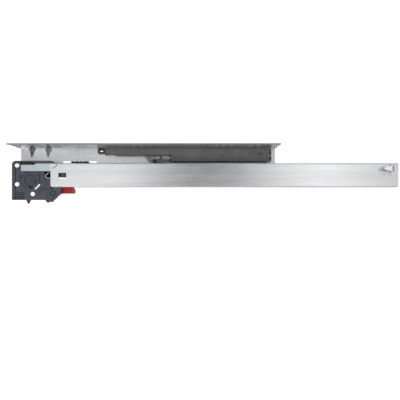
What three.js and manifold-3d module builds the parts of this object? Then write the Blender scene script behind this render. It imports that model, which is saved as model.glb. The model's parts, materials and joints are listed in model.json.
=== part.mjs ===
// Undermount soft-close drawer slide, left-hand, for an 18 in (457 mm) drawer, shown closed.
//
// Units are millimetres. While it is being built, x runs towards the rear from just behind the drawer front,
// w runs away from the cabinet wall (y = -w, the wall itself is at w = WALL), and z is the height above the
// slide's underside.
// The finished group is then moved so that its origin lies on the face that is screwed to the cabinet wall,
// halfway along the cabinet rail and midway between its two rows of holes.
import * as THREE from "three";
import { mergeVertices } from "three/addons/utils/BufferGeometryUtils.js";
import { ConvexGeometry } from "three/addons/geometries/ConvexGeometry.js";
import Module from "manifold-3d";

const wasm = await Module();
wasm.setup();

// ---------------------------------------------------------------- driving dimensions

const NOMINAL_LENGTH = 457.2; // front of the locking device to the rear end of the drawer rail
const LOCK_FRONT = -1; // where the locking device meets the drawer front
const NUB_LENGTH = 2.4; // a nub on the front of the locking device
const REAR_END = LOCK_FRONT + NOMINAL_LENGTH;

const WALL = -2.5; // the cabinet's wall, and the outer face of the flange
const CABINET = { front: 1.2, rear: 314, height: 46.5, sheet: 1.5, shelfWidth: 41.5, shelfFrontWidth: 20 };
const JOGGLE = { z: 17.6, depth: 0.5 }; // below this height the flange steps in, clear of the wall
const TRACK_FRONT = 68; // the running gear starts here, behind the locking device
const SHEET = 1.2; // thickness of the running profiles
const BEND = 0.6; // inside bend radius of the running profiles

const DRAWER = { near: 18.8, far: 47.2, bottom: 3.2, top: 24.9, front: 44.8 };
const MIDDLE = { near: 23.3, far: 43.8, bottom: 5.2, top: 19.2, front: TRACK_FRONT, rear: 438 };
const TRACK = { near: 26.3, far: 40.8, top: 13.5, neck: 7.4 };

const SYSTEM_PITCH = 32; // cabinet makers' row spacing
const HOLE_PITCH = 9;
const FIRST_HOLE = 6.5;
const HOLE_GROUPS = [
  { row: 0, holes: [0, 1, 2, 3] },
  { row: 1, holes: [2, 3] },
  { row: 4, holes: [1, 2, 3] },
  { row: 7, holes: [1, 2, 3] },
  { row: 8, holes: [2, 3] },
];
const UPPER_HOLES = { z: 36, radius: 3.4 };
const LOWER_HOLES = { z: 24.5, radius: 3.1 };

const ROLLER = { radius: 2.2, near: 27, far: 35, sides: 20 };
const LOWER_ROLLERS = 5;
const UPPER_ROLLERS = 6;
const GEAR = { x: 228, pitchRadius: 3.5, teeth: 10, near: 36.2, far: 39.8 };
const TOOTH = { addendum: 0.5, dedendum: 0.8, backlash: 0.34 };
const TOOTH_PITCH = (2 * Math.PI * GEAR.pitchRadius) / GEAR.teeth;

const LOCK = { near: 16, far: 62.5, bottom: 9.4, top: 24.6, wall: 1.6, roof: 2.5 };
const SCREW_LEAN = 0.37; // the device's screws lean forwards, into the drawer's front
const CLEARANCE = 0.1; // between pieces that are fastened together

// ---------------------------------------------------------------- materials

function material(color, roughness, metalness) {
  return new THREE.MeshStandardMaterial({ color, roughness, metalness });
}

const ZINC = material(0xc9cacd, 0.38, 0.9);
const STEEL = material(0xb4b6b8, 0.3, 0.95);
const SPRING_STEEL = material(0x8f9294, 0.35, 0.95);
const GREY_PLASTIC = material(0x5b5b5c, 0.55, 0);
const LIGHT_PLASTIC = material(0x8b8c8d, 0.5, 0);
const DARK_PLASTIC = material(0x42464e, 0.5, 0);
const BLACK_PLASTIC = material(0x151617, 0.55, 0);
const RED_PLASTIC = material(0xa32830, 0.4, 0);
const WHITE_NYLON = material(0xe6e4dd, 0.45, 0);

// ---------------------------------------------------------------- solids

// A closed geometry as a solid that can be cut and joined.
function toSolid(geometry) {
  geometry.deleteAttribute("normal");
  geometry.deleteAttribute("uv");
  const merged = mergeVertices(geometry, 1e-4);
  return new wasm.Manifold(
    new wasm.Mesh({
      numProp: 3,
      vertProperties: merged.attributes.position.array,
      triVerts: new Uint32Array(merged.index.array),
    }),
  );
}

const join = (...solids) => solids.reduce((whole, piece) => whole.add(piece));
const cut = (solid, ...tools) => tools.reduce((rest, tool) => rest.subtract(tool), solid);

function block([x0, x1], [w0, w1], [z0, z1]) {
  const box = new THREE.BoxGeometry(x1 - x0, w1 - w0, z1 - z0);
  return toSolid(box.translate((x0 + x1) / 2, -(w0 + w1) / 2, (z0 + z1) / 2));
}

const shapeOf = (points) => new THREE.Shape(points.map(([a, b]) => new THREE.Vector2(a, b)));

function extrude(shape, depth, axes, origin) {
  const geometry = new THREE.ExtrudeGeometry(shape, { depth, bevelEnabled: false, curveSegments: 12 });
  const [across, up, along] = axes.map((axis) => new THREE.Vector3(...axis));
  geometry.applyMatrix4(new THREE.Matrix4().makeBasis(across, up, along));
  return toSolid(geometry.translate(...origin));
}

// An outline of [w, z] points, run along x.
function bar(points, [x0, x1]) {
  const flipped = points.map(([w, z]) => [-w, z]);
  return extrude(shapeOf(flipped), x1 - x0, [[0, 1, 0], [0, 0, 1], [1, 0, 0]], [x0, 0, 0]);
}

// An outline of [x, w] points, run along z.
function plate(points, [z0, z1]) {
  const flipped = points.map(([x, w]) => [x, -w]);
  return extrude(shapeOf(flipped), z1 - z0, [[1, 0, 0], [0, 1, 0], [0, 0, 1]], [0, 0, z0]);
}

// An outline of [x, z] points, run along w.
function slab(points, [w0, w1]) {
  return extrude(shapeOf(points), w1 - w0, [[1, 0, 0], [0, 0, 1], [0, -1, 0]], [0, -w0, 0]);
}

function cylinder(radius, length, sides) {
  return new THREE.CylinderGeometry(radius, radius, length, sides);
}

const uprightPin = (x, w, [z0, z1], radius, sides = 20) =>
  toSolid(cylinder(radius, z1 - z0, sides).rotateX(Math.PI / 2).translate(x, -w, (z0 + z1) / 2));
const crossPin = (x, z, [w0, w1], radius, sides = 20) =>
  toSolid(cylinder(radius, w1 - w0, sides).translate(x, -(w0 + w1) / 2, z));
const lengthPin = (w, z, [x0, x1], radius, sides = 20) =>
  toSolid(cylinder(radius, x1 - x0, sides).rotateZ(Math.PI / 2).translate((x0 + x1) / 2, -w, z));

// A peg that leans towards the slide's front, placed by the spot where it meets the locking device's top.
function leaningPin([x, w], [z0, z1], radius) {
  const lean = new THREE.Matrix4().set(1, 0, SCREW_LEAN, 0, 0, 1, 0, 0, 0, 0, 1, 0, 0, 0, 0, 1);
  const upright = cylinder(radius, z1 - z0, 24).rotateX(Math.PI / 2);
  upright.translate(0, 0, (z0 + z1) / 2 - LOCK.top).applyMatrix4(lean);
  return toSolid(upright.translate(x, -w, LOCK.top));
}

// A turned part from [radius, height] points that start and end on the axis, or close on themselves.
function lathe(profile, sides = 20) {
  const points = profile.map(([r, h]) => new THREE.Vector2(r, h));
  if (THREE.ShapeUtils.isClockWise(points)) points.reverse();
  return new THREE.LatheGeometry(points, sides);
}

// A turned part that stands on the shelf, and one that lies along x.
const turnedUpright = (x, w, profile, sides = 16) =>
  toSolid(lathe(profile, sides).rotateX(Math.PI / 2).translate(x, -w, 0));
const turnedAlong = (w, z, profile) => toSolid(lathe(profile).rotateZ(-Math.PI / 2).translate(0, -w, z));

// The outline of a bent sheet: its middle line with each corner rounded, offset to both sides.
function sheetOutline(line, thickness, bendRadius, steps = 3) {
  const corners = line.map(([a, b]) => new THREE.Vector2(a, b));
  const half = thickness / 2;
  const radius = bendRadius + half;
  const heading = (i) => corners[i + 1].clone().sub(corners[i]).normalize();
  const left = (direction) => new THREE.Vector2(-direction.y, direction.x);
  const spine = [{ point: corners[0], normal: left(heading(0)) }];
  for (let i = 1; i < corners.length - 1; i++) {
    const [before, after] = [heading(i - 1), heading(i)];
    const turn = Math.atan2(before.cross(after), before.dot(after));
    const side = Math.sign(turn);
    const start = corners[i].clone().addScaledVector(before, -radius * Math.tan(Math.abs(turn) / 2));
    const hub = start.clone().addScaledVector(left(before), side * radius);
    for (let step = 0; step <= steps; step++) {
      const normal = left(before.clone().rotateAround(new THREE.Vector2(), (turn * step) / steps));
      spine.push({ point: hub.clone().addScaledVector(normal, -side * radius), normal });
    }
  }
  spine.push({ point: corners.at(-1), normal: left(heading(corners.length - 2)) });
  const offset = ({ point, normal }, distance) => point.clone().addScaledVector(normal, distance).toArray();
  return [...spine.map((s) => offset(s, half)), ...spine.map((s) => offset(s, -half)).reverse()];
}

// The outline moved inwards by a wall thickness.
function inset(points, distance) {
  const corners = points.map(([a, b]) => new THREE.Vector2(a, b));
  const count = corners.length;
  const inward = THREE.ShapeUtils.isClockWise(corners) ? -1 : 1;
  return corners.map((corner, i) => {
    const before = corner.clone().sub(corners[(i + count - 1) % count]).normalize();
    const after = corners[(i + 1) % count].clone().sub(corner).normalize();
    const bisector = new THREE.Vector2(-before.y - after.y, before.x + after.x);
    return corner.clone().addScaledVector(bisector, (inward * distance) / (1 + before.dot(after))).toArray();
  });
}

function roundedBar(length, width, radius, steps = 4) {
  const points = [];
  const centres = [[length / 2 - radius, width / 2 - radius], [radius - length / 2, width / 2 - radius],
    [radius - length / 2, radius - width / 2], [length / 2 - radius, radius - width / 2]];
  centres.forEach(([a, b], quarter) => {
    for (let step = 0; step <= steps; step++) {
      const angle = ((quarter + step / steps) * Math.PI) / 2;
      points.push([a + radius * Math.cos(angle), b + radius * Math.sin(angle)]);
    }
  });
  return points;
}

// A coil spring along x or w, its wire a thin tube.
function coil({ start, end, across, z, axis, radius, wire, turns, sides = 5, steps = 8 }) {
  class Helix extends THREE.Curve {
    getPoint(t, target = new THREE.Vector3()) {
      const angle = 2 * Math.PI * turns * t;
      const along = start + (end - start) * t;
      const side = across + radius * Math.cos(angle);
      const height = z + radius * Math.sin(angle);
      return axis === "x" ? target.set(along, -side, height) : target.set(side, -along, height);
    }
  }
  const middle = new THREE.Vector2();
  const corner = (i) => new THREE.Vector2(wire / 2, 0).rotateAround(middle, (2 * Math.PI * i) / sides);
  const section = new THREE.Shape(Array.from({ length: sides }, (_, i) => corner(i)));
  const wound = { steps: Math.round(turns * steps), bevelEnabled: false, extrudePath: new Helix() };
  return toSolid(new THREE.ExtrudeGeometry(section, wound));
}

const meshes = [];

function part(name, solid, look) {
  const { numProp, vertProperties, triVerts } = solid.getMesh();
  const interleaved = new THREE.InterleavedBuffer(vertProperties, numProp);
  const geometry = new THREE.BufferGeometry();
  geometry.setAttribute("position", new THREE.InterleavedBufferAttribute(interleaved, 3, 0));
  geometry.setIndex(new THREE.BufferAttribute(triVerts, 1));
  const faceted = geometry.toNonIndexed();
  faceted.computeVertexNormals();
  const mesh = new THREE.Mesh(faceted, look);
  mesh.name = name;
  meshes.push(mesh);
}

// ---------------------------------------------------------------- cabinet rail

// A pressed rib across the bend between flange and shelf, pointed at both ends. Its skin stands that far
// inside the sheet's outer faces.
function cornerRib(x, halfWidth, reach, height, skin) {
  const flange = WALL + JOGGLE.depth + skin;
  const shoulders = [-1, 1].map((side) => [x + side * halfWidth * 0.6, flange + 1.8, skin + 1.8]);
  const foot = [[x - halfWidth, flange, skin], [x + halfWidth, flange, skin]];
  const corners = [...foot, ...shoulders, [x, flange, height], [x, reach, skin]];
  return toSolid(new ConvexGeometry(corners.map(([a, w, z]) => new THREE.Vector3(a, -w, z))));
}

function cabinetRail() {
  const half = CABINET.sheet / 2;
  const middle = WALL + half;
  const lipDepth = 3.3;
  const lipLean = 0.6;
  const profile = sheetOutline(
    [
      [middle + lipLean, CABINET.height + 0.3],
      [middle, CABINET.height - lipDepth],
      [middle, JOGGLE.z + 1.2],
      [middle + JOGGLE.depth, JOGGLE.z - 0.4],
      [middle + JOGGLE.depth, half],
      [CABINET.shelfWidth, half],
    ],
    CABINET.sheet,
    0.4,
  );
  let rail = bar(profile, [CABINET.front, CABINET.rear]);

  const innerEdge = CABINET.shelfWidth + 1;
  rail = cut(
    rail,
    block([CABINET.front - 1, CABINET.rear + 1], [WALL - 1, 10], [CABINET.height, CABINET.height + 2]),
    block([-1, TRACK_FRONT - 1], [CABINET.shelfFrontWidth, innerEdge], [-1, 3]),
    block([52.9, 94.2], [14.4, CABINET.shelfFrontWidth + 0.6], [-1, 3]), // window of the side guide block
    longPlug(EYELET, EYELET.shank, [-1, 3]),
  );
  for (const x of [14.5, 34.5]) {
    rail = join(rail, cornerRib(x, 4.8, 10.7, 11, CABINET.sheet));
    rail = cut(rail, cornerRib(x, 3.6, 8, 8.2, -0.05));
  }
  for (const { row, holes } of HOLE_GROUPS) {
    for (const hole of holes) {
      const x = FIRST_HOLE + row * SYSTEM_PITCH + hole * HOLE_PITCH;
      for (const { z, radius } of [UPPER_HOLES, LOWER_HOLES]) {
        rail = cut(rail, crossPin(x, z, [WALL - 1, WALL + 4], radius, 24));
      }
    }
  }
  for (const [x, w] of TRACK_RIVETS) rail = cut(rail, uprightPin(x, w, [-1, 3], 1.65, 16));
  return rail;
}

const TRACK_RIVETS = [[84, 33.55], [190, 33.55], [298, 33.55]];
const EYELET = { x: 100.8, w: 2.7, head: [8, 4.4], shank: [6.4, 3.2], bore: [5, 2] };

// An upright plug with rounded ends, longer along x than across it.
function longPlug({ x, w }, [length, width], heights) {
  const outline = roundedBar(length, width, width / 2 - 0.01);
  return plate(outline.map(([a, b]) => [x + a, w + b]), heights);
}

function cabinetTrack() {
  const half = SHEET / 2;
  const foot = CABINET.sheet + CLEARANCE + half;
  const centre = (TRACK.near + TRACK.far) / 2;
  const stem = 3.4;
  const waist = TRACK.neck + half;
  const head = (TRACK.far - TRACK.near) / 2 - half;
  const side = (sign) => [
    [centre + sign * 7.1, foot],
    [centre + sign * stem, foot],
    [centre + sign * stem, waist],
    [centre + sign * head, waist],
    [centre + sign * head, TRACK.top - half],
  ];
  const profile = sheetOutline([...side(-1), ...side(1).reverse()], SHEET, 0.4, 2);
  return bar(profile, [TRACK_FRONT, CABINET.rear]);
}

// A stop at an end of the track: a plug inside the hollow head, with a collar that the roller cage meets.
function trackStop(end, inward) {
  const span = (...reach) => reach.map((distance) => end + inward * distance).sort((a, b) => a - b);
  return join(
    block(span(-0.5, 12), [27.7, 39.4], [8.8, 12.2]),
    block(span(-1.4, -CLEARANCE), [27.2, 39.9], [8.3, 12.9]),
    block(span(-1.4, -CLEARANCE), [28.5, 34.8], [8.9, 16.6]),
  );
}

// A block beside the drawer rail, standing in the shelf's window. It steadies the rail sideways.
// It stays below the tab on the drawer rail, which passes over it.
function sideGuideBlock() {
  const [front, rear] = [64.3, 85.2];
  const top = 8;
  const crown = [[rear, top - 1.2], [rear - 1.4, top], [front + 1.4, top], [front, top - 1.2]];
  const side = [[front, 0.2], [rear, 0.2], ...crown];
  const foot = block([69, rear - 1], [16, 24], [1.6, 2.8]);
  const slots = [0, 1, 2].map((i) => block([front + 4 + i * 5, front + 6 + i * 5], [14, 16.2], [3, 9]));
  return cut(join(slab(side, [15.2, 18.4]), foot), ...slots);
}

function rivet([x, w], grip) {
  const head = [[1.5, grip + 0.1], [2.6, grip + 0.1], [2.1, grip + 0.7], [0, grip + 0.9]];
  return turnedUpright(x, w, [[0, 0], [1.5, 0], ...head]);
}

const trackRivetHoles = TRACK_RIVETS.map(([x, w]) => uprightPin(x, w, [1, 4], 1.65, 16));

part("cabinet_rail", cabinetRail(), ZINC);
part("cabinet_track", cut(cabinetTrack(), ...trackRivetHoles), ZINC);
part("track_front_stop", trackStop(TRACK_FRONT, 1), BLACK_PLASTIC);
part("track_rear_stop", trackStop(CABINET.rear, -1), BLACK_PLASTIC);
part("side_guide_block", sideGuideBlock(), BLACK_PLASTIC);

// ---------------------------------------------------------------- soft-close unit
// It lies on the shelf, low enough for the drawer's side panel to pass above it.

const HOUSING = { front: 96.2, step: 107, shoulder: 186.5, rear: 304, near: -0.2, arm: 8.2, far: 15.6 };
const HOUSING_LEVEL = { bottom: 1.6, top: 12 };
const HOUSING_WALL = 1.3;
const ARM_FRONT = 118.4; // the arm is narrower ahead of this
const EAR = { top: 4.5, far: 6.4 };
const DAMPER = { w: 10.9, z: 6.8, radius: 3.2, bore: 2.4, front: 200, rear: 298.6 };
const SPRINGS = { w: 5.45, heights: [3.7, 8.2], radius: 1.2, wire: 0.5, turns: 20 };
const SPRING_ROOM = [HOUSING.near + HOUSING_WALL, HOUSING.arm - 1.2];
const CATCH = { front: 160, rear: 184.6, near: 9.1, far: 16.4 };
const PAWL_PIVOT = [170.6, 11.4];
const PAWL_LEVEL = [7.6, 11.9];

function damperHousing() {
  const { front, step, shoulder, rear, near, arm, far } = HOUSING;
  const { bottom, top } = HOUSING_LEVEL;
  const neck = arm - 1.3;
  const outline = [
    [step, near],
    [rear, near],
    [rear, far],
    [shoulder, far],
    [shoulder, arm],
    [ARM_FRONT, arm],
    [ARM_FRONT - 3, neck],
    [step, neck],
  ];
  const ear = [
    [front, near],
    [step + 1, near],
    [step + 1, EAR.far - 0.8],
    [front + 1.6, EAR.far],
    [front, EAR.far - 1.6],
  ];
  const bump = block([105, 108.2], [EAR.far - 1, EAR.far + 1.2], [bottom, EAR.top]);
  const room = [bottom - 1, top - HOUSING_WALL];
  const skirt = block([shoulder - 3.5, rear], [arm, far + 1], [bottom, bottom + 0.5]);
  const vent = (x) => block([x, x + 1.1], [4.9, 8.5], [top - HOUSING_WALL - 0.2, top + 1]);
  return cut(
    join(plate(outline, [bottom, top]), plate(ear, [bottom, EAR.top]), bump, skirt),
    block([ARM_FRONT - 0.8, rear + 1], SPRING_ROOM, room),
    block([shoulder + HOUSING_WALL, rear + 1], [near + HOUSING_WALL, far - HOUSING_WALL], room),
    block([ARM_FRONT, shoulder - 4], [SPRING_ROOM[1] - 0.5, arm + 1], [4.5, 7.8]), // slot of the catch
    lengthPin(DAMPER.w, DAMPER.z, [shoulder - 1, shoulder + 3], 1.5, 16),
    longPlug(EYELET, EYELET.shank, [0, 13]),
    vent(293.3),
    vent(296.1),
  );
}

function damperEndCap() {
  const { rear, near, far } = HOUSING;
  const { bottom, top } = HOUSING_LEVEL;
  const face = block([rear + CLEARANCE, rear + 4], [near, far], [bottom, top]);
  const plug = block([rear - 4, rear + 0.3], [near + 1.5, far - 1.5], [bottom + 0.2, top - 1.5]);
  const pocket = (w) => block([rear + 1, rear + 3.2], [w - 1.1, w + 1.1], [top - 8, top + 1]);
  const spigots = SPRINGS.heights.map((z) => lengthPin(SPRINGS.w, z, [rear - 8, rear - 3.8], 0.9, 12));
  return join(cut(join(face, plug), pocket(2.4), pocket(5.8), pocket(12)), ...spigots);
}

function damperCylinder() {
  const { front, rear, radius, bore } = DAMPER;
  const outside = [[0, rear], [radius, rear], [radius, front]];
  const barrel = [...outside, [bore, front], [bore, rear - 3], [0, rear - 3]];
  return turnedAlong(DAMPER.w, DAMPER.z, barrel);
}

function cylinderGland() {
  const { front, radius, bore } = DAMPER;
  const collar = front - CLEARANCE;
  const inner = bore - CLEARANCE;
  const hole = 1.3;
  const flange = [[hole, collar - 3], [radius - 0.3, collar - 3], [radius - 0.3, collar]];
  const plug = [[inner, collar], [inner, front + 4], [hole, front + 4], flange[0]];
  return turnedAlong(DAMPER.w, DAMPER.z, [...flange, ...plug]);
}

const pistonRod = () =>
  turnedAlong(DAMPER.w, DAMPER.z, [[0, 181], [1.2, 181], [1.2, 262], [2.2, 262], [2.2, 267], [0, 267]]);

// The slider runs beside the housing's arm. A tongue through the arm's slot pulls on the closing springs.
function catchSlider() {
  const { front, rear, near, far } = CATCH;
  const level = [2.2, PAWL_LEVEL[0] - CLEARANCE];
  const tip = [[front - 5, near - 0.5], [front - 6.4, near + 1]];
  const horn = plate([[front + 1, near], ...tip, [front + 1, far - 1.4]], level);
  const tray = join(block([front, rear], [near, far], level), horn);
  const rodEnd = block([rear - 8.8, rear], [near, 13.5], [7, HOUSING_LEVEL.top - 0.1]);
  const tongue = block([front + 1, front + 19], [SPRING_ROOM[1] - 0.3, near + 0.2], [4.8, 7.4]);
  const anchor = block([front + 1, front + 4], [SPRING_ROOM[0] + 0.4, SPRING_ROOM[1] - 0.1], [2, 10.2]);
  const spigots = SPRINGS.heights.map((z) => lengthPin(SPRINGS.w, z, [front + 3.8, front + 8], 0.9, 12));
  const rodSocket = lengthPin(DAMPER.w, DAMPER.z, [180.6, rear + 1], 1.3, 16);
  const pivotHole = uprightPin(...PAWL_PIVOT, [2, 13], 1.1, 16);
  return cut(join(tray, rodEnd, tongue, anchor, ...spigots), rodSocket, pivotHole);
}

// The pawl turns on the slider. Its hooked nose stands in front of the drawer rail's tab and draws it in.
function catchPawl() {
  const back = [
    [163.6, 10.4],
    [167.5, 9.4],
    [172.6, 9.4],
    [173.2, 10.2],
    [173.2, 12.8],
    [171.6, 13.4],
    [168.4, 13.4],
  ];
  const nose = [[164.6, 13.4], [163.8, 16.4], [159.6, 16.4], [157.6, 14.9], [157.6, 13.9], [160, 12.2]];
  return cut(plate([...back, ...nose], PAWL_LEVEL), uprightPin(...PAWL_PIVOT, [7, 13], 1.1, 16));
}

const closingSpring = (z) =>
  coil({ ...SPRINGS, start: CATCH.front + 4.4, end: HOUSING.rear - 4.4, across: SPRINGS.w, z, axis: "x" });

part("damper_housing", damperHousing(), GREY_PLASTIC);
part("damper_end_cap", damperEndCap(), DARK_PLASTIC);
part("damper_cylinder", damperCylinder(), STEEL);
part("cylinder_gland", cylinderGland(), WHITE_NYLON);
part("closing_spring_lower", closingSpring(SPRINGS.heights[0]), SPRING_STEEL);
part("closing_spring_upper", closingSpring(SPRINGS.heights[1]), SPRING_STEEL);
part("piston_rod", pistonRod(), STEEL);
part("catch_slider", catchSlider(), LIGHT_PLASTIC);
part("catch_pawl", catchPawl(), LIGHT_PLASTIC);
part("pawl_pin", uprightPin(...PAWL_PIVOT, [2.3, PAWL_LEVEL[1]], 1, 16), STEEL);

// ---------------------------------------------------------------- fasteners in the shelf

// An eyelet that holds the ear of the housing to the shelf, open from top to bottom.
function housingEyelet() {
  const shank = EYELET.shank.map((side) => side - 2 * CLEARANCE);
  const head = longPlug(EYELET, EYELET.head, [EAR.top + CLEARANCE, EAR.top + 1]);
  const tube = longPlug(EYELET, shank, [0, EAR.top + 0.5]);
  return cut(join(tube, head), longPlug(EYELET, EYELET.bore, [-1, 13]));
}

TRACK_RIVETS.forEach((place, i) => part(`track_rivet_${i + 1}`, rivet(place, 3), STEEL));
part("housing_eyelet", housingEyelet(), BLACK_PLASTIC);

// ---------------------------------------------------------------- racks and pinion

// The toothed side of a rack as [x, z] points. A gap between teeth is centred on the pinion.
function rackTeeth([x0, x1], pitchLine, up) {
  const flank = Math.tan(THREE.MathUtils.degToRad(20));
  const halfTooth = TOOTH_PITCH / 4 - TOOTH.backlash / 4;
  const tip = pitchLine + up * TOOTH.addendum;
  const root = pitchLine - up * TOOTH.dedendum;
  const points = [];
  const first = Math.ceil((x0 - GEAR.x) / TOOTH_PITCH - 0.5) + 0.5;
  for (let n = first; GEAR.x + n * TOOTH_PITCH < x1 - halfTooth; n++) {
    const middle = GEAR.x + n * TOOTH_PITCH;
    if (middle < x0 + 2 * halfTooth) continue;
    const atRoot = halfTooth + flank * TOOTH.dedendum;
    const atTip = halfTooth - flank * TOOTH.addendum;
    points.push([middle - atRoot, root], [middle - atTip, tip]);
    points.push([middle + atTip, tip], [middle + atRoot, root]);
  }
  return points;
}

function rack([x0, x1], back, pitchLine, up) {
  const root = pitchLine - up * TOOTH.dedendum;
  const teeth = rackTeeth([x0, x1], pitchLine, up);
  return slab([[x0, back], [x0, root], ...teeth, [x1, root], [x1, back]], [36, 40]);
}

function pinion(centreZ) {
  const points = [];
  const toothAngle = (2 * Math.PI) / GEAR.teeth;
  const half = toothAngle / 4 - TOOTH.backlash / 4 / GEAR.pitchRadius;
  const ring = (radius, angle) => {
    points.push([GEAR.x + radius * Math.cos(angle), centreZ + radius * Math.sin(angle)]);
  };
  for (let tooth = 0; tooth < GEAR.teeth; tooth++) {
    const middle = Math.PI / 2 + tooth * toothAngle;
    ring(GEAR.pitchRadius - TOOTH.dedendum, middle - half * 1.25);
    ring(GEAR.pitchRadius, middle - half);
    ring(GEAR.pitchRadius + TOOTH.addendum, middle - half * 0.5);
    ring(GEAR.pitchRadius + TOOTH.addendum, middle + half * 0.5);
    ring(GEAR.pitchRadius, middle + half);
    ring(GEAR.pitchRadius - TOOTH.dedendum, middle + half * 1.25);
  }
  const bore = crossPin(GEAR.x, centreZ, [GEAR.near - 1, GEAR.far + 1], 0.95, 16);
  return cut(slab(points, [GEAR.near, GEAR.far]), bore);
}

// ---------------------------------------------------------------- roller cages

const MIDDLE_WEB = MIDDLE.top - SHEET / 2;
const LOWER_ROLLER_Z = (TRACK.top + MIDDLE.top - SHEET) / 2;
const UPPER_ROLLER_Z = (MIDDLE.top + DRAWER.top - SHEET) / 2;
const LOWER_CAGE = { front: 181, rear: 311, rackFront: 114, rackRear: 236 };
const UPPER_CAGE = { front: 180, rear: 323, rackFront: 220, rackRear: 344 };

const rollerPlaces = ({ front, rear }, count) =>
  Array.from({ length: count }, (_, i) => THREE.MathUtils.lerp(front + 9, rear - 9, i / (count - 1)));

function rollerWindows(cage, count, z) {
  const across = [ROLLER.near - 0.3, ROLLER.far + 0.3];
  return rollerPlaces(cage, count).map((x) => block([x - 2.5, x + 2.5], across, [z - 3, z + 3]));
}

function lowerCage() {
  const { front, rear, rackFront, rackRear } = LOWER_CAGE;
  const run = [front, rear];
  const deck = [LOWER_ROLLER_Z - 0.85, LOWER_ROLLER_Z + 0.85];
  const shoe = [TRACK.top + 0.2, TRACK.top + 1];
  const cage = join(
    block(run, [24.9, 36], deck),
    block(run, [24.9, 25.9], [8.7, deck[1]]),
    block(run, [35.4, 36], [shoe[0], deck[1]]),
    block(run, [35.4, 42.2], shoe),
    block(run, [41.2, 42.2], [8.7, shoe[1]]),
    rack([rackFront, rackRear], shoe[0], MIDDLE_WEB - GEAR.pitchRadius, 1),
  );
  return cut(cage, ...rollerWindows(LOWER_CAGE, LOWER_ROLLERS, LOWER_ROLLER_Z));
}

function upperCage() {
  const { front, rear, rackFront, rackRear } = UPPER_CAGE;
  const run = [front, rear];
  const deck = [UPPER_ROLLER_Z - 0.85, UPPER_ROLLER_Z + 0.85];
  const shoe = [DRAWER.top - SHEET - 1, DRAWER.top - SHEET - 0.2];
  const cage = join(
    block(run, [21, 36], deck),
    block(run, [21, 22.6], [9.6, deck[1]]),
    block(run, [35.4, 36], [deck[0], shoe[1]]),
    block(run, [35.4, 45.3], shoe),
    block(run, [44.3, 45.3], [9.6, shoe[1]]),
    rack([rackFront, rackRear], shoe[1], MIDDLE_WEB + GEAR.pitchRadius, -1),
  );
  return cut(cage, ...rollerWindows(UPPER_CAGE, UPPER_ROLLERS, UPPER_ROLLER_Z));
}

const roller = (x, z) => crossPin(x, z, [ROLLER.near, ROLLER.far], ROLLER.radius, ROLLER.sides);

part("lower_roller_cage", lowerCage(), WHITE_NYLON);
part("upper_roller_cage", upperCage(), WHITE_NYLON);
for (const [row, cage, count, z] of [
  ["lower", LOWER_CAGE, LOWER_ROLLERS, LOWER_ROLLER_Z],
  ["upper", UPPER_CAGE, UPPER_ROLLERS, UPPER_ROLLER_Z],
]) {
  rollerPlaces(cage, count).forEach((x, i) => part(`${row}_roller_${i + 1}`, roller(x, z), STEEL));
}
part("sync_pinion", pinion(MIDDLE_WEB), LIGHT_PLASTIC);

// ---------------------------------------------------------------- intermediate rail

const PINION_WINDOW = [[GEAR.x - 5, GEAR.x + 5], [35.6, 41.8]];

function intermediateRail() {
  const half = SHEET / 2;
  const lip = 4.2;
  const profile = sheetOutline(
    [
      [MIDDLE.near + lip, MIDDLE.bottom + half],
      [MIDDLE.near + half, MIDDLE.bottom + half],
      [MIDDLE.near + half, MIDDLE_WEB],
      [MIDDLE.far - half, MIDDLE_WEB],
      [MIDDLE.far - half, MIDDLE.bottom + half],
      [MIDDLE.far - lip, MIDDLE.bottom + half],
    ],
    SHEET,
    BEND,
  );
  return cut(bar(profile, [MIDDLE.front, MIDDLE.rear]), block(...PINION_WINDOW, [17, 20]));
}

// A thin cap on an end of the rail. It is open in the middle, so that the track and its stops pass through.
function intermediateCap(end, outward) {
  const [near, far] = [MIDDLE.near, MIDDLE.far];
  const centre = end + outward * 0.6;
  const face = block([centre - 0.5, centre + 0.5], [near, far], [MIDDLE.bottom, MIDDLE.top]);
  const level = [MIDDLE.bottom - 1, MIDDLE.top - 1.3];
  const passage = block([centre - 1, centre + 1], [near + 1.6, far - 1.6], level);
  return cut(face, passage);
}

// The bracket stands beside the window in the rail's web and holds one end of the pinion's pin.
function pinionBracket() {
  const outline = [[-3, 15.2], [3, 15.2], [3, 21.4], [1.8, 22.4], [-1.8, 22.4], [-3, 21.4]];
  const ear = slab(outline.map(([x, z]) => [GEAR.x + x, z]), [40.2, 41.4]);
  const foot = block([GEAR.x - 7, GEAR.x + 7], [40.2, 43.5], [MIDDLE.top + 0.05, MIDDLE.top + 1.05]);
  return cut(join(ear, foot), crossPin(GEAR.x, MIDDLE_WEB, [39, 43], 0.9, 16));
}

part("intermediate_rail", intermediateRail(), ZINC);
part("intermediate_front_cap", intermediateCap(MIDDLE.front, -1), BLACK_PLASTIC);
part("intermediate_rear_cap", intermediateCap(MIDDLE.rear, 1), BLACK_PLASTIC);
part("pinion_bracket", pinionBracket(), STEEL);
part("pinion_pin", crossPin(GEAR.x, MIDDLE_WEB, [36.2, 41.8], 0.85, 16), STEEL);

// ---------------------------------------------------------------- drawer rail

const TONGUE = { front: 9.8, near: 19.4, nearFront: 20.9, far: 28.3, step: 27.4 };
const LATCH_HOLE = [[54.2, 63.4], [29.7, 37.7]];
const HOOK = { bend: 446.8, near: 22.6, far: 29, thickness: 1.5, rise: 10.2, tip: 435.5 };
const TAB_X = [165.2, 168.2];

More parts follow.
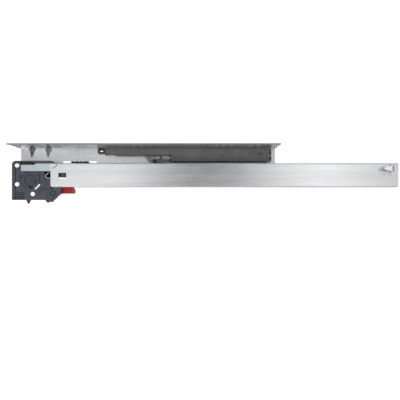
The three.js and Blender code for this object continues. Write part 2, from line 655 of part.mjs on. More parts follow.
function drawerRail() {
  const half = SHEET / 2;
  const lip = 5.4;
  const waist = 7.7; // the foot of each side wall steps inwards below this height
  const step = 0.7;
  const side = (wall, inward) => [
    [wall + inward * (half + lip + step), DRAWER.bottom + half],
    [wall + inward * (half + step), DRAWER.bottom + half],
    [wall + inward * (half + step), waist - 0.5],
    [wall + inward * half, waist + 0.5],
    [wall + inward * half, DRAWER.top - half],
  ];
  const profile = sheetOutline([...side(DRAWER.near, 1), ...side(DRAWER.far, -1).reverse()], SHEET, 0.5);
  const web = [DRAWER.top - SHEET, DRAWER.top];
  const tongue = plate(
    [
      [DRAWER.front + 3, TONGUE.near],
      [TONGUE.step, TONGUE.near],
      [TONGUE.step - 2, TONGUE.nearFront],
      [TONGUE.front, TONGUE.nearFront],
      [TONGUE.front, TONGUE.far],
      [DRAWER.front + 3, TONGUE.far],
    ],
    web,
  );
  const roundOff = 2.2;
  const corner = [DRAWER.front + roundOff, DRAWER.far - roundOff];
  const frontCorner = cut(
    block([DRAWER.front - 1, corner[0]], [corner[1], DRAWER.far + 1], [1, 27]),
    uprightPin(...corner, [0, 28], roundOff, 32),
  );
  const wallEnd = REAR_END - 5.5;
  const through = [DRAWER.top - 3, DRAWER.top + 1];
  return cut(
    join(bar(profile, [DRAWER.front, REAR_END]), tongue),
    block(...LATCH_HOLE, through),
    block([wallEnd, REAR_END + 1], [DRAWER.near - 1, DRAWER.near + 8], [2, DRAWER.top - 2]),
    block([wallEnd - 2.4, REAR_END + 1], [DRAWER.near - 1, DRAWER.near + 8], [2, waist]),
    block([wallEnd, REAR_END + 1], [DRAWER.far - 8, DRAWER.far + 1], [2, 8.4]),
    block([wallEnd, REAR_END + 1], [DRAWER.far - 8, DRAWER.far + 1], [9.8, 13]),
    block([wallEnd, REAR_END + 1], [DRAWER.far - 8, DRAWER.far + 1], [14.4, DRAWER.top - 2]),
    block([339, 349.4], [DRAWER.near - 1, DRAWER.near + 2], [18.5, 22.5]),
    block([346.9, 349.4], [DRAWER.near - 1, DRAWER.near + 2], [15.7, 19]),
    block([HOOK.bend - 1.9, HOOK.bend + 0.4], [HOOK.near - 0.7, HOOK.far + 0.7], through),
    ...[HOOK.near - 1, HOOK.far + 1].map((w) => uprightPin(HOOK.bend - 0.7, w, through, 1.15)),
    frontCorner,
    scoredArc,
    uprightPin(...HOOK_RIVETS[0], through, 1.55, 16),
    uprightPin(...HOOK_RIVETS[1], through, 1.55, 16),
  );
}

// A quarter circle scored into the web above the device.
const scoredArc = cut(
  uprightPin(47.4, 19.7, [DRAWER.top - 0.6, DRAWER.top + 1], 5.3, 32),
  uprightPin(47.4, 19.7, [DRAWER.top - 1, DRAWER.top + 2], 4.4, 32),
).intersect(block([47.4, 54], [19.7, 26], [DRAWER.top - 2, DRAWER.top + 3]));

// Base plate under the web, an upright through the web's slot, and a pointed prong for the drawer's back.
const HOOK_RIVETS = [438.7, 445.8].map((x) => [x, 32.6]);

function rearHook() {
  const { bend, near, far, thickness, rise, tip } = HOOK;
  const base = [DRAWER.top - SHEET - CLEARANCE - thickness, DRAWER.top - SHEET - CLEARANCE];
  const top = DRAWER.top + rise;
  const centre = (near + far) / 2;
  const face = bend - thickness;
  const coined = block([face - 1, face + 0.2], [near - 1, far + 1], [base[1], DRAWER.top + 0.2]);
  const upright = cut(block([face, bend], [near, far], [base[0], top]), coined);
  const prong = [
    [bend, near + 0.9],
    [bend, far - 0.9],
    [bend - 4.5, far - 0.4],
    [bend - 8.4, far - 1.6],
    [tip, centre + 0.5],
    [tip, centre - 0.5],
    [bend - 8.4, near + 1.6],
    [bend - 4.5, near + 0.4],
  ];
  const thinned = 0.7; // the prong's top slopes down to a thinner tip
  const wedge = [[tip, top - thickness], [bend, top - thickness], [bend, top], [tip, top - thinned]];
  const prongPlate = plate(prong, [top - thickness, top]).intersect(slab(wedge, [near, far]));
  const plateUnder = block([bend - 12, bend + 2.6], [near - 2.1, 35.4], base);
  const hook = join(upright, prongPlate, plateUnder);
  return cut(hook, ...HOOK_RIVETS.map(([x, w]) => uprightPin(x, w, [base[0] - 1, base[1] + 1], 1.55, 16)));
}

function flushRivet([x, w]) {
  const [z0, z1] = [DRAWER.top - SHEET - 2.6, DRAWER.top];
  return turnedUpright(x, w, [[0, z0], [2.3, z0], [2.3, z0 + 0.8], [1.45, z0 + 0.8], [1.45, z1], [0, z1]]);
}

// The tab that the soft-close pawl takes hold of, riveted to the outside of the rail's side wall.
function closingTab() {
  const [front, rear] = TAB_X;
  const level = [8.4, 11.4];
  const foot = block([front, rear + 8], [DRAWER.near - 1, DRAWER.near - 0.05], level);
  return join(foot, block([front, rear], [13.9, DRAWER.near - 0.05], level));
}

part("drawer_rail", drawerRail(), ZINC);
part("rear_hook", rearHook(), ZINC);
HOOK_RIVETS.forEach((place, i) => part(`hook_rivet_${i + 1}`, flushRivet(place), ZINC));
part("closing_tab", closingTab(), BLACK_PLASTIC);

// ---------------------------------------------------------------- locking device

// The outline of the device, from its rounded front corner round to its sloping rear corner. Below the roof
// it is shorter, by the given amount.
const lockOutline = (shorter) => [
  [LOCK_FRONT, LOCK.near + 4.6],
  [LOCK_FRONT + 0.5, LOCK.near + 2.2],
  [LOCK_FRONT + 2.2, LOCK.near + 0.5],
  [LOCK_FRONT + 4.6, LOCK.near],
  [44.3, LOCK.near],
  [44.3, 47.7],
  [57 - shorter, 47.7],
  [57 - shorter, 54.9],
  [49.4 - shorter, LOCK.far],
  [LOCK_FRONT, LOCK.far],
];
const BODY_STEP = 4.4;
const LOCK_SCREWS = [[5.2, 21.5], [5.2, 43.9], [23.8, 55.4]];
const SCREW_RADIUS = 2.5;
const DIAL = { x: 20.6, w: 39.4, radius: 10.2 };
const LEVER_PIVOT = [47.4, 54.8];
const LEVER_LEVEL = [12.5, 18.5];
const BASE_TOP = LOCK.bottom + 1.6;
const ROOF_UNDER = LOCK.top - LOCK.roof;

// A slanting slot beside the dial that can be seen through. It leans like the screws.
function sightSlot() {
  const middle = [29.6, 46.5];
  const length = 9;
  const halfWidth = 0.9;
  const reach = (length / 2 - halfWidth) / Math.SQRT2;
  const peg = (side) => leaningPin([middle[0] + side * reach, middle[1] - side * reach], [0, 30], halfWidth);
  return join(peg(-1), peg(1)).hull();
}

const screwBores = LOCK_SCREWS.flatMap((place) => [
  leaningPin(place, [ROOF_UNDER - 1, 30], SCREW_RADIUS),
  leaningPin(place, [0, ROOF_UNDER], SCREW_RADIUS + 0.5),
]);

const grooves = (depth) => {
  const level = [LOCK.top - depth, LOCK.top + 1];
  const ribGaps = [53.4, 55.7, 58, 60.3].map((w) => block([4.8, 13.6], [w, w + 0.8], level));
  const pivotDisc = (radius) => uprightPin(...LEVER_PIVOT, level, radius, 24);
  return [
    block([2.7, 3.5], [LOCK.near + 4.5, LOCK.far - 1], level),
    block([8, 8.7], [31.5, 39], level),
    block([31.7, 32.4], [30, 40.5], level),
    block([33.5, 47.5], [49.2, 49.9], level),
    cut(pivotDisc(3.2), pivotDisc(2.5)),
    ...ribGaps,
  ];
};

function lockHousing() {
  const body = lockOutline(BODY_STEP);
  const level = [BASE_TOP + CLEARANCE, ROOF_UNDER + 0.1];
  const shell = cut(plate(body, level), plate(inset(body, LOCK.wall), [0, ROOF_UNDER]));
  const roof = plate(lockOutline(0), [ROOF_UNDER, LOCK.top]);
  const inside = plate(body, level);
  const bosses = LOCK_SCREWS.slice(0, 2).map((place) => leaningPin(place, level, 4.7).intersect(inside));
  const nub = block([LOCK_FRONT - NUB_LENGTH, LOCK_FRONT + 1], [28, 32], [12.2, 14.2]);
  const springSeat = block([36.4, 43.5], [44.4, 46], [BASE_TOP + 0.3, LOCK.top - 1]);
  const tail = block([43.5, 65], [29.9, 35], [11, 14.5]);
  const tailEnd = block([64, 65.3], [29.9, 35], [11, 22.6]);
  const rearNub = block([41.9, 45], [LOCK.far - 1.5, LOCK.far + 2.3], [12, 17.4]);
  return cut(
    join(shell, roof, ...bosses, nub, springSeat, tail, tailEnd, rearNub),
    ...screwBores,
    uprightPin(DIAL.x, DIAL.w, [ROOF_UNDER - 1, LOCK.top + 1], DIAL.radius + 0.3, 40),
    block([37.6, 45], [28.9, 38], [ROOF_UNDER - 4.3, LOCK.top + 1]), // pocket of the leaf spring
    block([9.4, 23.6], [17.3, 22.4], [ROOF_UNDER - 1, LOCK.top + 1]), // slideway of the lateral slider
    block([9, 45], [20.3, 28.7], [DRAWER.top - SHEET - 0.3, LOCK.top + 1]), // bed of the rail's tongue
    block([25, 45], [19, 21], [DRAWER.top - SHEET - 0.3, LOCK.top + 1]),
    block([23.8, 26.6], [18.4, 21], [ROOF_UNDER - 1, LOCK.top + 1]),
    sightSlot(),
    block([11.5, 23.4], [LOCK.far - 3, LOCK.far + 1], [14.4, 19.6]), // slot of the adjuster arm
    block([33.4, 41.2], [LOCK.far - 3, LOCK.far + 1], [11.9, 19.1]), // slot of the lever's nose
    block([45.8, 60], [49.3, 61], [11.9, 19.1]), // mouth of the lever
    ...grooves(1.5),
  );
}

function lockBase() {
  return cut(plate(lockOutline(BODY_STEP), [LOCK.bottom, BASE_TOP]), ...screwBores, sightSlot());
}

function releaseLever() {
  const outline = [
    [71.6, 50.8],
    [69.4, 47.4],
    [56, 47.4],
    [54.5, 50.2],
    [47, 50.8],
    [40.5, 51.6],
    [37, 51.6],
    [35.6, 61.4],
    [39, 65.7],
    [40.2, 65.3],
    [40.7, 60.6],
    [45.8, 58.6],
    [50.6, 57],
    [56, 54.9],
    [71.2, 54.9],
  ];
  const [bottom, top] = LEVER_LEVEL;
  const gripGroove = (x) => block([x, x + 0.9], [47, 56], [top - 0.5, top + 1]);
  const grip = [0, 1, 2, 3].map((i) => gripGroove(60.4 + i * 2.4));
  return cut(plate(outline, [bottom, top]), uprightPin(...LEVER_PIVOT, [bottom - 1, top + 1], 1.6), ...grip);
}

function leverPivotPin() {
  return uprightPin(...LEVER_PIVOT, [BASE_TOP + CLEARANCE, ROOF_UNDER - CLEARANCE], 1.5);
}

function adjusterDial() {
  const { x, w, radius } = DIAL;
  const disc = uprightPin(x, w, [ROOF_UNDER + 0.3, LOCK.top - 0.2], radius, 40);
  const hub = uprightPin(x, w, [BASE_TOP + 0.3, ROOF_UNDER + 0.5], 4.5);
  const button = uprightPin(25.3, 35.4, [ROOF_UNDER + 1, LOCK.top + 0.1], 1.1, 16);
  const pointer = block([11.8, 17.4], [36.9, 37.5], [ROOF_UNDER + 1, LOCK.top]);
  const socket = block([19.3, 23.7], [45.6, 48.6], [ROOF_UNDER + 0.6, LOCK.top + 1]);
  const round = (size, level) => uprightPin(x, w, level, size, 32);
  const ring = (outer, inner, level) => cut(round(outer, level), round(inner, level));
  const face = cut(disc, ring(6.9, 6, [LOCK.top - 1.2, LOCK.top + 1]), socket);
  return cut(join(face, hub, button, pointer), ring(5, 3.6, [14, 20.2]));
}

// The finger arm is clipped round the dial's hub and comes out through the side of the housing in a point.
function adjusterArm() {
  const { x, w } = DIAL;
  const arm = plate(
    [[14, 43.5], [18, 45.4], [17, 59.5], [18.5, 62.8], [16.2, 67.3], [13.9, 62.8], [13.8, 59.5]],
    [15, 19],
  );
  return cut(join(uprightPin(x, w, [15, 19], 7, 24), arm), uprightPin(x, w, [14, 20], 3.8, 24));
}

// A slider beside the drawer rail's tongue, and low enough to pass under it. The dial shifts it to set the
// drawer sideways.
function lateralSlider() {
  const head = roundedBar(13.2, 3, 1.4).map(([x, w]) => [x + 16.4, w + 19.1]);
  const foot = block([12, 20.8], [18, 20.4], [BASE_TOP + 0.6, LOCK.top - 3]);
  return join(plate(head, [LOCK.top - 3.6, DRAWER.top - SHEET - 0.4]), foot);
}

function latchTooth() {
  const outline = [[0, 18.4], [8, 18.4], [8, 23.2], [6.9, 24.3], [2.6, 24.3], [0, 22]];
  return slab(outline.map(([x, z]) => [LATCH_HOLE[0][0] + 0.6 + x, z]), [30.1, 35.6]);
}

// A bent leaf that keeps the device snug against the front edge of the drawer rail.
function latchLeaf() {
  const line = [[42.9, 29.7], [38.8, 33.4], [39.6, 36.6], [43.4, 36.6]];
  return plate(sheetOutline(line, 1.1, 0.4), [ROOF_UNDER - 4, LOCK.top - 0.1]);
}

const leverSpring = coil({
  start: 46.2,
  end: 51.2,
  across: 39,
  z: 15.5,
  axis: "w",
  radius: 1.6,
  wire: 0.5,
  turns: 4,
});

part("lock_housing", lockHousing(), DARK_PLASTIC);
part("lock_base", lockBase(), DARK_PLASTIC);
part("release_lever", releaseLever(), RED_PLASTIC);
part("lever_pivot_pin", leverPivotPin(), STEEL);
part("lever_spring", leverSpring, SPRING_STEEL);
part("latch_tooth", latchTooth(), DARK_PLASTIC);
part("latch_leaf", latchLeaf(), STEEL);
part("adjuster_dial", adjusterDial(), DARK_PLASTIC);
part("adjuster_arm", adjusterArm(), RED_PLASTIC);
part("lateral_slider", lateralSlider(), BLACK_PLASTIC);

// ---------------------------------------------------------------- assembly

const slide = new THREE.Group();
slide.add(...meshes);

slide.position.set(-(CABINET.front + CABINET.rear) / 2, WALL, -(UPPER_HOLES.z + LOWER_HOLES.z) / 2);

export default slide;
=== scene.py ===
"""Looks for a left-hand undermount drawer slide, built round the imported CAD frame. Metres, row frame."""
import json
import math

import bmesh
import bpy
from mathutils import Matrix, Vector


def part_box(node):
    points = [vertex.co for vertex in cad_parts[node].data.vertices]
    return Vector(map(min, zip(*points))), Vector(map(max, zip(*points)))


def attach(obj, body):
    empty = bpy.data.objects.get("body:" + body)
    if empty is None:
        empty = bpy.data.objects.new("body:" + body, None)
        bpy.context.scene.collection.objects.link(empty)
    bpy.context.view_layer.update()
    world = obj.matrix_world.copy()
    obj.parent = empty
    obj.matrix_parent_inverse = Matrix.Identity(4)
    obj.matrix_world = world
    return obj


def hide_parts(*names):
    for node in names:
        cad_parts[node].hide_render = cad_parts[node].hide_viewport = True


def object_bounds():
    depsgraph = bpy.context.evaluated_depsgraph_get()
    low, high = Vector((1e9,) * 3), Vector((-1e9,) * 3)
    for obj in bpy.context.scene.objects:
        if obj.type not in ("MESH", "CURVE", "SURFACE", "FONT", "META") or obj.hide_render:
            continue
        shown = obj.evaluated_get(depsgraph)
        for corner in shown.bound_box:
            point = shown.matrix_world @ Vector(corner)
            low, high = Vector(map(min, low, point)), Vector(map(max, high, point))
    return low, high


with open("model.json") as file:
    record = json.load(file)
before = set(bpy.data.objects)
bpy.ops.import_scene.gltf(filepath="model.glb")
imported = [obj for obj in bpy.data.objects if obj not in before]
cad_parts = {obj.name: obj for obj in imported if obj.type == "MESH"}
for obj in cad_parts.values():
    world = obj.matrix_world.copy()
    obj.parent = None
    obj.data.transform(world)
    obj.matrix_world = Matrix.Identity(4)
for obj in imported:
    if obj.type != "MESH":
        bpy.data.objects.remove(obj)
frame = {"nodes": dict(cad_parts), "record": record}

MM = 0.001
CAD_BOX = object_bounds()
X, Y, Z = range(3)
NODES = frame["nodes"]
BODY_OF = {n: b for b, ns in frame["record"]["behaviour"]["bodies"].items() for n in ns}
SLOT_OF = {s["node"]: s["material_slot"] for s in frame["record"]["subparts"]}

# The camera hangs above the slide and looks straight down, with the cabinet wall at the top of the picture.
CAMERA_PLACE = (0.064, -0.065, 0.55425)
LENS_MM = 42.6

# ---------------------------------------------------------------- node helpers


class Graph:
    """A short way to write a node tree."""

    def __init__(self, tree):
        self.tree = tree
        tree.nodes.clear()

    def node(self, kind, inputs=None, **settings):
        made = self.tree.nodes.new(kind)
        for key, value in settings.items():
            setattr(made, key, value)
        for key, value in (inputs or {}).items():
            self.feed(made.inputs[key], value)
        return made

    def feed(self, socket, value):
        if isinstance(value, bpy.types.NodeSocket):
            self.tree.links.new(value, socket)
        else:
            socket.default_value = value

    def math(self, operation, a, b):
        return self.node("ShaderNodeMath", {0: a, 1: b}, operation=operation).outputs[0]

    def noise(self, vector, scale, detail=2.0, roughness=0.5):
        inputs = {"Vector": vector, "Scale": scale, "Detail": detail, "Roughness": roughness}
        return self.node("ShaderNodeTexNoise", inputs).outputs["Fac"]

    def pointiness(self):
        return self.node("ShaderNodeNewGeometry").outputs["Pointiness"]

    def part_of(self, vector, axis):
        return self.node("ShaderNodeSeparateXYZ", {0: vector}).outputs[axis]

    def stretched(self, vector, scale):
        return self.node("ShaderNodeMapping", {"Vector": vector, "Scale": scale}).outputs[0]

    def span(self, value, low, high, to_low=0.0, to_high=1.0):
        made = self.node("ShaderNodeMapRange", {"Value": value, 1: low, 2: high, 3: to_low, 4: to_high})
        return made.outputs[0]

    def grey_ramp(self, value, stops):
        made = self.node("ShaderNodeValToRGB", {"Fac": value})
        ramp = made.color_ramp
        while len(ramp.elements) < len(stops):
            ramp.elements.new(0.5)
        for element, (place, grey) in zip(ramp.elements, stops):
            element.position = place
            element.color = (grey, grey, grey, 1.0)
        return made.outputs["Color"]

    def mix(self, factor, a, b):
        made = self.node("ShaderNodeMix", data_type="RGBA")
        for socket, value in zip((made.inputs[0], made.inputs[6], made.inputs[7]), (factor, a, b)):
            self.feed(socket, value if isinstance(value, (bpy.types.NodeSocket, float)) else (*value, 1.0))
        return made.outputs[2]

    def bump(self, height, strength, distance, normal=None):
        inputs = {"Height": height, "Strength": strength, "Distance": distance}
        if normal is not None:
            inputs["Normal"] = normal
        return self.node("ShaderNodeBump", inputs).outputs[0]


def new_material(name):
    made = bpy.data.materials.new(name)
    made.use_nodes = True
    graph = Graph(made.node_tree)
    shader = graph.node("ShaderNodeBsdfPrincipled")
    out = graph.node("ShaderNodeOutputMaterial")
    made.node_tree.links.new(shader.outputs[0], out.inputs[0])
    place = graph.node("ShaderNodeTexCoord").outputs["Object"]
    return made, graph, shader, place


# ---------------------------------------------------------------- materials

# Pointiness is 0.5 on a flat face, more along an outer edge and less in an inner corner.
OUTER_EDGE = (0.52, 0.6)
INNER_CORNER = (0.42, 0.49)


def rolled_zinc(name, light, dark, roughness, grease=0.0, blue_ahead_of=None):
    """Zinc-plated strip: fine rolling lines along x, faint clouding, hairline scuffs and a painted highlight
    along its outer edges.
    """
    made, g, shader, place = new_material(name)
    lines = g.noise(g.stretched(place, (30, 2600, 2600)), 1.0, 3.0, 0.65)
    wide_lines = g.noise(g.stretched(place, (2, 420, 420)), 1.0, 2.0)
    clouds = g.noise(g.stretched(place, (14, 60, 60)), 1.0, 4.0, 0.6)
    scuffs = g.noise(g.stretched(place, (900, 140, 900)), 1.0, 4.0, 0.7)
    scuff_mask = g.span(scuffs, 0.66, 0.74)
    edges = g.span(g.pointiness(), *OUTER_EDGE)
    tone = g.math("ADD", g.math("MULTIPLY", clouds, 0.75), g.math("MULTIPLY", wide_lines, 0.25))
    colour = g.mix(g.span(tone, 0.35, 0.65), dark, light)
    # Painted highlight: outer edges are lightened towards a brighter zinc.
    colour = g.mix(g.math("MULTIPLY", edges, 0.5), colour, tuple(min(1.0, c * 1.12) for c in light))
    if blue_ahead_of is not None:
        passivated = g.mix(clouds, (0.6, 0.7, 0.77), (0.7, 0.79, 0.85))
        ahead = g.span(g.part_of(place, X), blue_ahead_of, blue_ahead_of + 2 * MM, 0.85, 0.0)
        colour = g.mix(ahead, colour, passivated)
    if grease:
        film = g.span(g.noise(g.stretched(place, (18, 70, 70)), 1.0, 3.0), 0.42, 0.62)
        colour = g.mix(g.math("MULTIPLY", film, grease), colour, (0.42, 0.38, 0.3))
    g.feed(shader.inputs["Base Color"], colour)
    shader.inputs["Metallic"].default_value = 1.0
    rough = g.span(lines, 0.2, 0.8, roughness - 0.05, roughness + 0.06)
    rough = g.math("ADD", rough, g.math("MULTIPLY", scuff_mask, 0.04))
    rough = g.math("ADD", rough, g.math("MULTIPLY", g.span(clouds, 0.3, 0.7), 0.035))
    g.feed(shader.inputs["Roughness"], rough)
    fine = g.bump(lines, 0.12, 0.02 * MM)
    g.feed(shader.inputs["Normal"], g.bump(scuff_mask, 0.05, 0.02 * MM, fine))
    return made


def bright_steel(name, light, roughness, ring_scale=2400.0):
    """Turned or drawn steel: fine tool lines, a little staining."""
    made, g, shader, place = new_material(name)
    lines = g.noise(g.stretched(place, (ring_scale, ring_scale * 0.12, ring_scale)), 1.0, 2.0)
    stain = g.noise(place, 260.0, 4.0, 0.6)
    dark = tuple(c * 0.78 for c in light)
    g.feed(shader.inputs["Base Color"], g.mix(g.span(stain, 0.35, 0.7), dark, light))
    shader.inputs["Metallic"].default_value = 1.0
    g.feed(shader.inputs["Roughness"], g.span(lines, 0.2, 0.8, roughness - 0.04, roughness + 0.1))
    g.feed(shader.inputs["Normal"], g.bump(lines, 0.15, 0.02 * MM))
    return made


def moulded(
    name, base, roughness, grain=5200.0, strength=0.2, edge=1.5, bloom=1.0, corner_shade=0.5, dark_past=None,
):
    """Moulded plastic: spark-eroded grain, uneven gloss, faint dusty bloom, edges lighter (rubbed) when edge
    is over 1 and darker (painted shade) when under 1, and painted shade in inner corners.

    Past the given y, on the side away from the wall, it is darkened with painted shade.
    """
    made, g, shader, place = new_material(name)
    texture = g.noise(place, grain, 2.0, 0.6)
    cloud = g.noise(place, 130.0, 4.0, 0.6)
    flow = g.noise(g.stretched(place, (60, 320, 160)), 1.0, 3.0)
    scratch = g.span(g.noise(g.stretched(place, (1500, 110, 500)), 1.0, 3.0, 0.7), 0.68, 0.76)
    edges = g.span(g.pointiness(), *OUTER_EDGE)
    deep = tuple(c * 0.8 for c in base)
    pale = tuple(min(1.0, c * 1.25 + 0.004 * bloom) for c in base)
    scratch_and_edge_tint = tuple(min(1.0, c * edge + 0.012 * bloom) for c in base)
    colour = g.mix(g.span(cloud, 0.3, 0.7), deep, pale)
    colour = g.mix(g.math("MULTIPLY", g.span(flow, 0.5, 0.75), 0.25), colour, pale)
    colour = g.mix(g.math("MULTIPLY", scratch, 0.3), colour, scratch_and_edge_tint)
    # Outer edges take the scratch colour: lighter, as rubbed wear, where edge is over 1; where it is under 1
    # they are darker, which is painted shade.
    colour = g.mix(g.math("MULTIPLY", edges, 0.6), colour, scratch_and_edge_tint)
    # Painted shade: inner corners and creases are darkened.
    corners = g.span(g.pointiness(), *INNER_CORNER, corner_shade, 0.0)
    colour = g.mix(corners, colour, tuple(c * 0.15 for c in base))
    # Painted shade: past the given y the colour is darkened almost to black.
    if dark_past is not None:
        painted_shade_past = g.span(g.part_of(place, Y), dark_past - 1 * MM, dark_past, 0.95, 0.0)
        colour = g.mix(painted_shade_past, colour, tuple(c * 0.12 for c in base))
    g.feed(shader.inputs["Base Color"], colour)
    rough = g.span(cloud, 0.3, 0.7, roughness - 0.06, roughness + 0.06)
    rough = g.math("SUBTRACT", rough, g.math("MULTIPLY", edges, 0.08))
    g.feed(shader.inputs["Roughness"], g.math("ADD", rough, g.math("MULTIPLY", scratch, 0.1)))
    shader.inputs["Specular IOR Level"].default_value = 0.5
    spark_grain = g.bump(texture, strength, 0.04 * MM)
    g.feed(shader.inputs["Normal"], g.bump(scratch, 0.15, 0.03 * MM, spark_grain))
    return made


def sheared_steel(name):
    """The cut edge of zinc-plated strip: bare, dull and streaked across the sheet."""
    made, g, shader, place = new_material(name)
    streaks = g.noise(g.stretched(place, (2600, 900, 900)), 1.0, 3.0, 0.6)
    g.feed(shader.inputs["Base Color"], g.mix(streaks, (0.22, 0.22, 0.22), (0.38, 0.38, 0.375)))
    shader.inputs["Metallic"].default_value = 0.7
    g.feed(shader.inputs["Roughness"], g.span(streaks, 0.3, 0.7, 0.45, 0.6))
    g.feed(shader.inputs["Normal"], g.bump(streaks, 0.3, 0.04 * MM))
    return made


CUT_EDGE = sheared_steel("sheared_steel")
TONGUE_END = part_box("drawer_rail")[0].x + 33.3 * MM
LOCK_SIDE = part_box("lock_housing")[0].y
HOUSING_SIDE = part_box("damper_housing")[0].y
FINISH = {
    "zinc_cabinet_rail": rolled_zinc("zinc_cabinet_rail", (0.75, 0.755, 0.77), (0.66, 0.665, 0.68), 0.26),
    "zinc_drawer_rail": rolled_zinc(
        "zinc_drawer_rail", (0.86, 0.87, 0.885), (0.81, 0.82, 0.835), 0.22,
        blue_ahead_of=TONGUE_END,
    ),
    "zinc_inner": rolled_zinc("zinc_inner", (0.74, 0.74, 0.75), (0.6, 0.6, 0.6), 0.3, grease=0.35),
    "bright_steel": bright_steel("bright_steel", (0.8, 0.8, 0.79), 0.2),
    "spring_steel": bright_steel("spring_steel", (0.62, 0.63, 0.64), 0.28, 4200.0),
    "damper_plastic": moulded(
        "damper_plastic", (0.15, 0.15, 0.15), 0.5, strength=0.35, edge=0.7, corner_shade=0.8,
        # Painted shade: the housing's skirt along its outer side is darkened, as in a shadowed gap.
        dark_past=HOUSING_SIDE + 1.2 * MM,
    ),
    "damper_cap_plastic": moulded("damper_cap_plastic", (0.2, 0.202, 0.205), 0.5, corner_shade=0.9),
    "catch_plastic": moulded("catch_plastic", (0.28, 0.28, 0.28), 0.42, strength=0.1),
    "lock_plastic": moulded("lock_plastic", (0.066, 0.075, 0.096), 0.46, edge=0.7, corner_shade=0.9),
    "red_plastic": moulded(
        "red_plastic", (0.47, 0.02, 0.028), 0.4, strength=0.1, edge=1.1, bloom=0.3,
        # Painted shade: the red tips towards the lock housing's outer side are darkened.
        dark_past=LOCK_SIDE + 2.1 * MM,
    ),
    "black_plastic": moulded("black_plastic", (0.012, 0.012, 0.013), 0.5),
    "white_nylon": moulded("white_nylon", (0.72, 0.7, 0.64), 0.4, strength=0.1, edge=1.1),
}

# ---------------------------------------------------------------- pieces

SHEET_PARTS = {
    "cabinet_rail", "cabinet_track", "drawer_rail", "intermediate_rail", "rear_hook", "pinion_bracket",
}
SHEET_LIMIT = 1.65 * MM  # just over the thickest sheet
FLAT_UNDER = math.radians(0.6)
SHARP_OVER = math.radians(28)
SQUARE_OVER = math.radians(60)
SMOOTH_UNDER = math.radians(38)


def is_sharp(edge, over):
    return len(edge.link_faces) == 2 and edge.calc_face_angle(0) > over


def is_cut_edge(face):
    """A face that spans the sheet's thickness: no wider than the sheet between its sharp edges."""
    sharp = sum(e.calc_length() for e in face.edges if is_sharp(e, SQUARE_OVER))
    return face.calc_area() < sharp / 2 * SHEET_LIMIT


def finish_mesh(mesh, rounding, sheet):
    """Merges flat facets, rounds the sharp edges of a solid and shades the rest smooth."""
    bm = bmesh.new()
    bm.from_mesh(mesh)
    bmesh.ops.remove_doubles(bm, verts=bm.verts, dist=1e-6)
    bmesh.ops.dissolve_limit(bm, angle_limit=FLAT_UNDER, verts=bm.verts, edges=bm.edges)
    if sheet:
        for face in [f for f in bm.faces if is_cut_edge(f)]:
            face.material_index = 1
    bmesh.ops.bevel(
        bm, geom=[e for e in bm.edges if is_sharp(e, SHARP_OVER)], offset=rounding, offset_type="OFFSET",
        segments=2, profile=0.6, affect="EDGES", clamp_overlap=True, miter_outer="ARC",
    )
    bmesh.ops.remove_doubles(bm, verts=bm.verts, dist=1e-7)
    for face in bm.faces:
        face.smooth = True
    for e in bm.edges:
        e.smooth = len(e.link_faces) == 2 and e.calc_face_angle(0) < SMOOTH_UNDER
    bm.to_mesh(mesh)
    bm.free()


def dress(mesh, node):
    """Gives the mesh its node's finish. Sheet parts also have bare cut edges."""
    mesh.materials.clear()
    mesh.materials.append(FINISH[SLOT_OF[node]])
    if node in SHEET_PARTS:
        mesh.materials.append(CUT_EDGE)


def adopt(piece, node):
    """The piece stands for a CAD node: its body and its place."""
    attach(piece, BODY_OF[node])
    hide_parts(node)


def refine(node, rounding):
    """A copy of the CAD node with rounded edges and its finish takes the node's place."""
    mesh = NODES[node].data.copy()
    mesh.name = node + "_look"
    dress(mesh, node)
    finish_mesh(mesh, rounding, node in SHEET_PARTS)
    piece = bpy.data.objects.new(node + "_look", mesh)
    bpy.context.scene.collection.objects.link(piece)
    weighted = piece.modifiers.new("flat_faces", "WEIGHTED_NORMAL")
    weighted.keep_sharp = True
    adopt(piece, node)


SMALL_ROUNDING = 0.15
ROUNDING_MM = {
    "cabinet_rail": 0.18, "drawer_rail": 0.2, "rear_hook": 0.2,
    "track_front_stop": 0.3, "track_rear_stop": 0.3, "side_guide_block": 0.35,
    "damper_housing": 0.3, "damper_end_cap": 0.3, "catch_slider": 0.25, "catch_pawl": 0.25,
    "sync_pinion": 0.1, "lock_housing": 0.3, "lock_base": 0.3, "release_lever": 0.4,
    "latch_tooth": 0.3, "latch_leaf": 0.1, "adjuster_dial": 0.2, "adjuster_arm": 0.3, "lateral_slider": 0.3,
}
SPRINGS = {"closing_spring_lower", "closing_spring_upper", "lever_spring"}
for node in sorted(NODES):
    if node not in SPRINGS:
        refine(node, ROUNDING_MM.get(node, SMALL_ROUNDING) * MM)


def tube(name, path, radius, sides=8):
    """A wire along a path, closed by its two ends."""
    bm = bmesh.new()
    rings = []
    up = Vector((0, 0, 1))
    for i, point in enumerate(path):
        before, after = path[max(i - 1, 0)], path[min(i + 1, len(path) - 1)]
        forward = (after - before).normalized()
        side = forward.cross(up)
        side = (side if side.length > 1e-4 else forward.cross(Vector((0, 1, 0)))).normalized()
        over = side.cross(forward).normalized()
        up = over
        turn = [2 * math.pi * k / sides for k in range(sides)]
        rings.append([bm.verts.new(point + radius * (math.cos(a) * side + math.sin(a) * over)) for a in turn])
    for a, b in zip(rings, rings[1:]):
        for k in range(sides):
            bm.faces.new((a[k], a[(k + 1) % sides], b[(k + 1) % sides], b[k]))
    bm.faces.new(rings[0][::-1])
    bm.faces.new(rings[-1])
    bmesh.ops.recalc_face_normals(bm, faces=bm.faces)
    for face in bm.faces:
        face.smooth = len(face.verts) == 4
    mesh = bpy.data.meshes.new(name)
    bm.to_mesh(mesh)
    bm.free()
    piece = bpy.data.objects.new(name, mesh)
    bpy.context.scene.collection.objects.link(piece)
    return piece


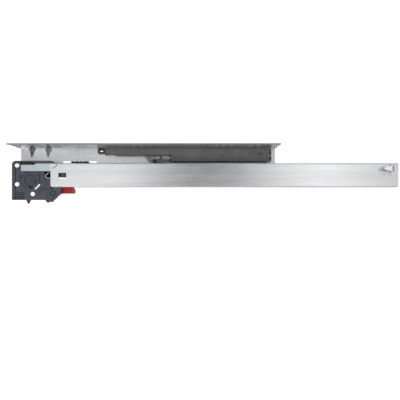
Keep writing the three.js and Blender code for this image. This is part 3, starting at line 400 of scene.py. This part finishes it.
def wound_spring(node, along, wire, turns, short=0.0):
    """A coil with closer end turns, filling its CAD node's box but for the given gap at its low end."""
    low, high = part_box(node)
    centre = (low + high) / 2
    axis = Vector((1, 0, 0)) if along == "x" else Vector((0, 1, 0))
    side = Vector((0, 1, 0)) if along == "x" else Vector((1, 0, 0))
    length = (high - low).dot(axis) - wire - short
    middle = centre + axis * (short / 2)
    radius = (high - low).z / 2 - wire / 2
    total = turns * 20
    path = []
    for i in range(total + 1):
        t = i / total
        eased = t + 0.035 * math.sin(4 * math.pi * t) * (abs(2 * t - 1) ** 6)  # slower at both ends
        angle = 2 * math.pi * turns * t
        round_the_axis = side * (radius * math.cos(angle)) + Vector((0, 0, radius * math.sin(angle)))
        path.append(middle + axis * (length * (eased - 0.5)) + round_the_axis)
    spring = tube(node + "_look", path, wire / 2)
    dress(spring.data, node)
    adopt(spring, node)


wound_spring("closing_spring_lower", "x", 0.55 * MM, 58)
wound_spring("closing_spring_upper", "x", 0.55 * MM, 58)
wound_spring("lever_spring", "y", 0.5 * MM, 6, short=1.25 * MM)

# ---------------------------------------------------------------- studio

FLOOR_Z = CAD_BOX[0][2] - 0.2 * MM


def studio_floor():
    bm = bmesh.new()
    half = 6.0
    corners = ((-half, -half), (half, -half), (half, half), (-half, half))
    bm.faces.new([bm.verts.new((x, y, 0)) for x, y in corners])
    mesh = bpy.data.meshes.new("floor")
    bm.to_mesh(mesh)
    bm.free()
    floor = bpy.data.objects.new("floor", mesh)
    floor.location.z = FLOOR_Z
    bpy.context.scene.collection.objects.link(floor)
    made, g, shader, place = new_material("studio_floor")
    paper = g.noise(place, 900.0, 2.0)
    g.feed(shader.inputs["Base Color"], g.mix(paper, (0.38, 0.38, 0.38), (0.4, 0.4, 0.4)))
    shader.inputs["Roughness"].default_value = 0.9
    shader.inputs["Specular IOR Level"].default_value = 0.1
    shader.inputs["Emission Color"].default_value = (1, 1, 1, 1)
    shader.inputs["Emission Strength"].default_value = 0.9
    mesh.materials.append(made)
    floor.visible_glossy = False


studio_floor()


def studio_sky():
    """Soft light from everywhere, with a dim strip overhead between two bright panels."""
    world = bpy.data.worlds.new("studio")
    world.use_nodes = True
    bpy.context.scene.world = world
    g = Graph(world.node_tree)
    direction = g.node("ShaderNodeTexCoord").outputs["Generated"]
    x = g.part_of(direction, X)
    z = g.part_of(direction, Z)
    lean = g.math("DIVIDE", x, g.math("MAXIMUM", z, 0.05))
    panels = [
        (-0.45, 0.24), (-0.3, 0.5), (-0.2, 0.72), (-0.12, 0.55), (-0.05, 0.05), (0.0, 0.0),
        (0.06, 0.02), (0.13, 0.42), (0.22, 0.78), (0.3, 0.86), (0.36, 0.36), (0.5, 0.3),
    ]
    reach = 0.6
    stops = [((lean_at + reach) / (2 * reach), level) for lean_at, level in panels]
    overhead = g.grey_ramp(g.span(lean, -reach, reach), stops)
    high_up = g.span(z, 0.6, 0.9)
    colour = g.mix(high_up, (0.3, 0.3, 0.305), overhead)
    back = g.node("ShaderNodeBackground", {"Color": colour, "Strength": 1.6})
    out = g.node("ShaderNodeOutputWorld")
    g.tree.links.new(back.outputs[0], out.inputs[0])


studio_sky()


def soft_light(name, place, target, size, power):
    data = bpy.data.lights.new(name, "AREA")
    data.shape = "RECTANGLE"
    data.size, data.size_y = size
    data.energy = power
    lamp = bpy.data.objects.new(name, data)
    lamp.location = place
    lamp.rotation_euler = (Vector(target) - Vector(place)).to_track_quat("-Z", "Y").to_euler()
    bpy.context.scene.collection.objects.link(lamp)


soft_light("key_light", (-0.9, -0.9, 1.2), (0, 0, 0), (1.2, 0.8), 9.0)

camera_data = bpy.data.cameras.new("camera")
camera_data.lens = LENS_MM
camera_data.sensor_width = 36.0
camera_data.clip_start = 0.01
camera = bpy.data.objects.new("camera", camera_data)
camera.location = CAMERA_PLACE
bpy.context.scene.collection.objects.link(camera)
bpy.context.scene.camera = camera
bpy.context.scene.view_settings.view_transform = "Standard"
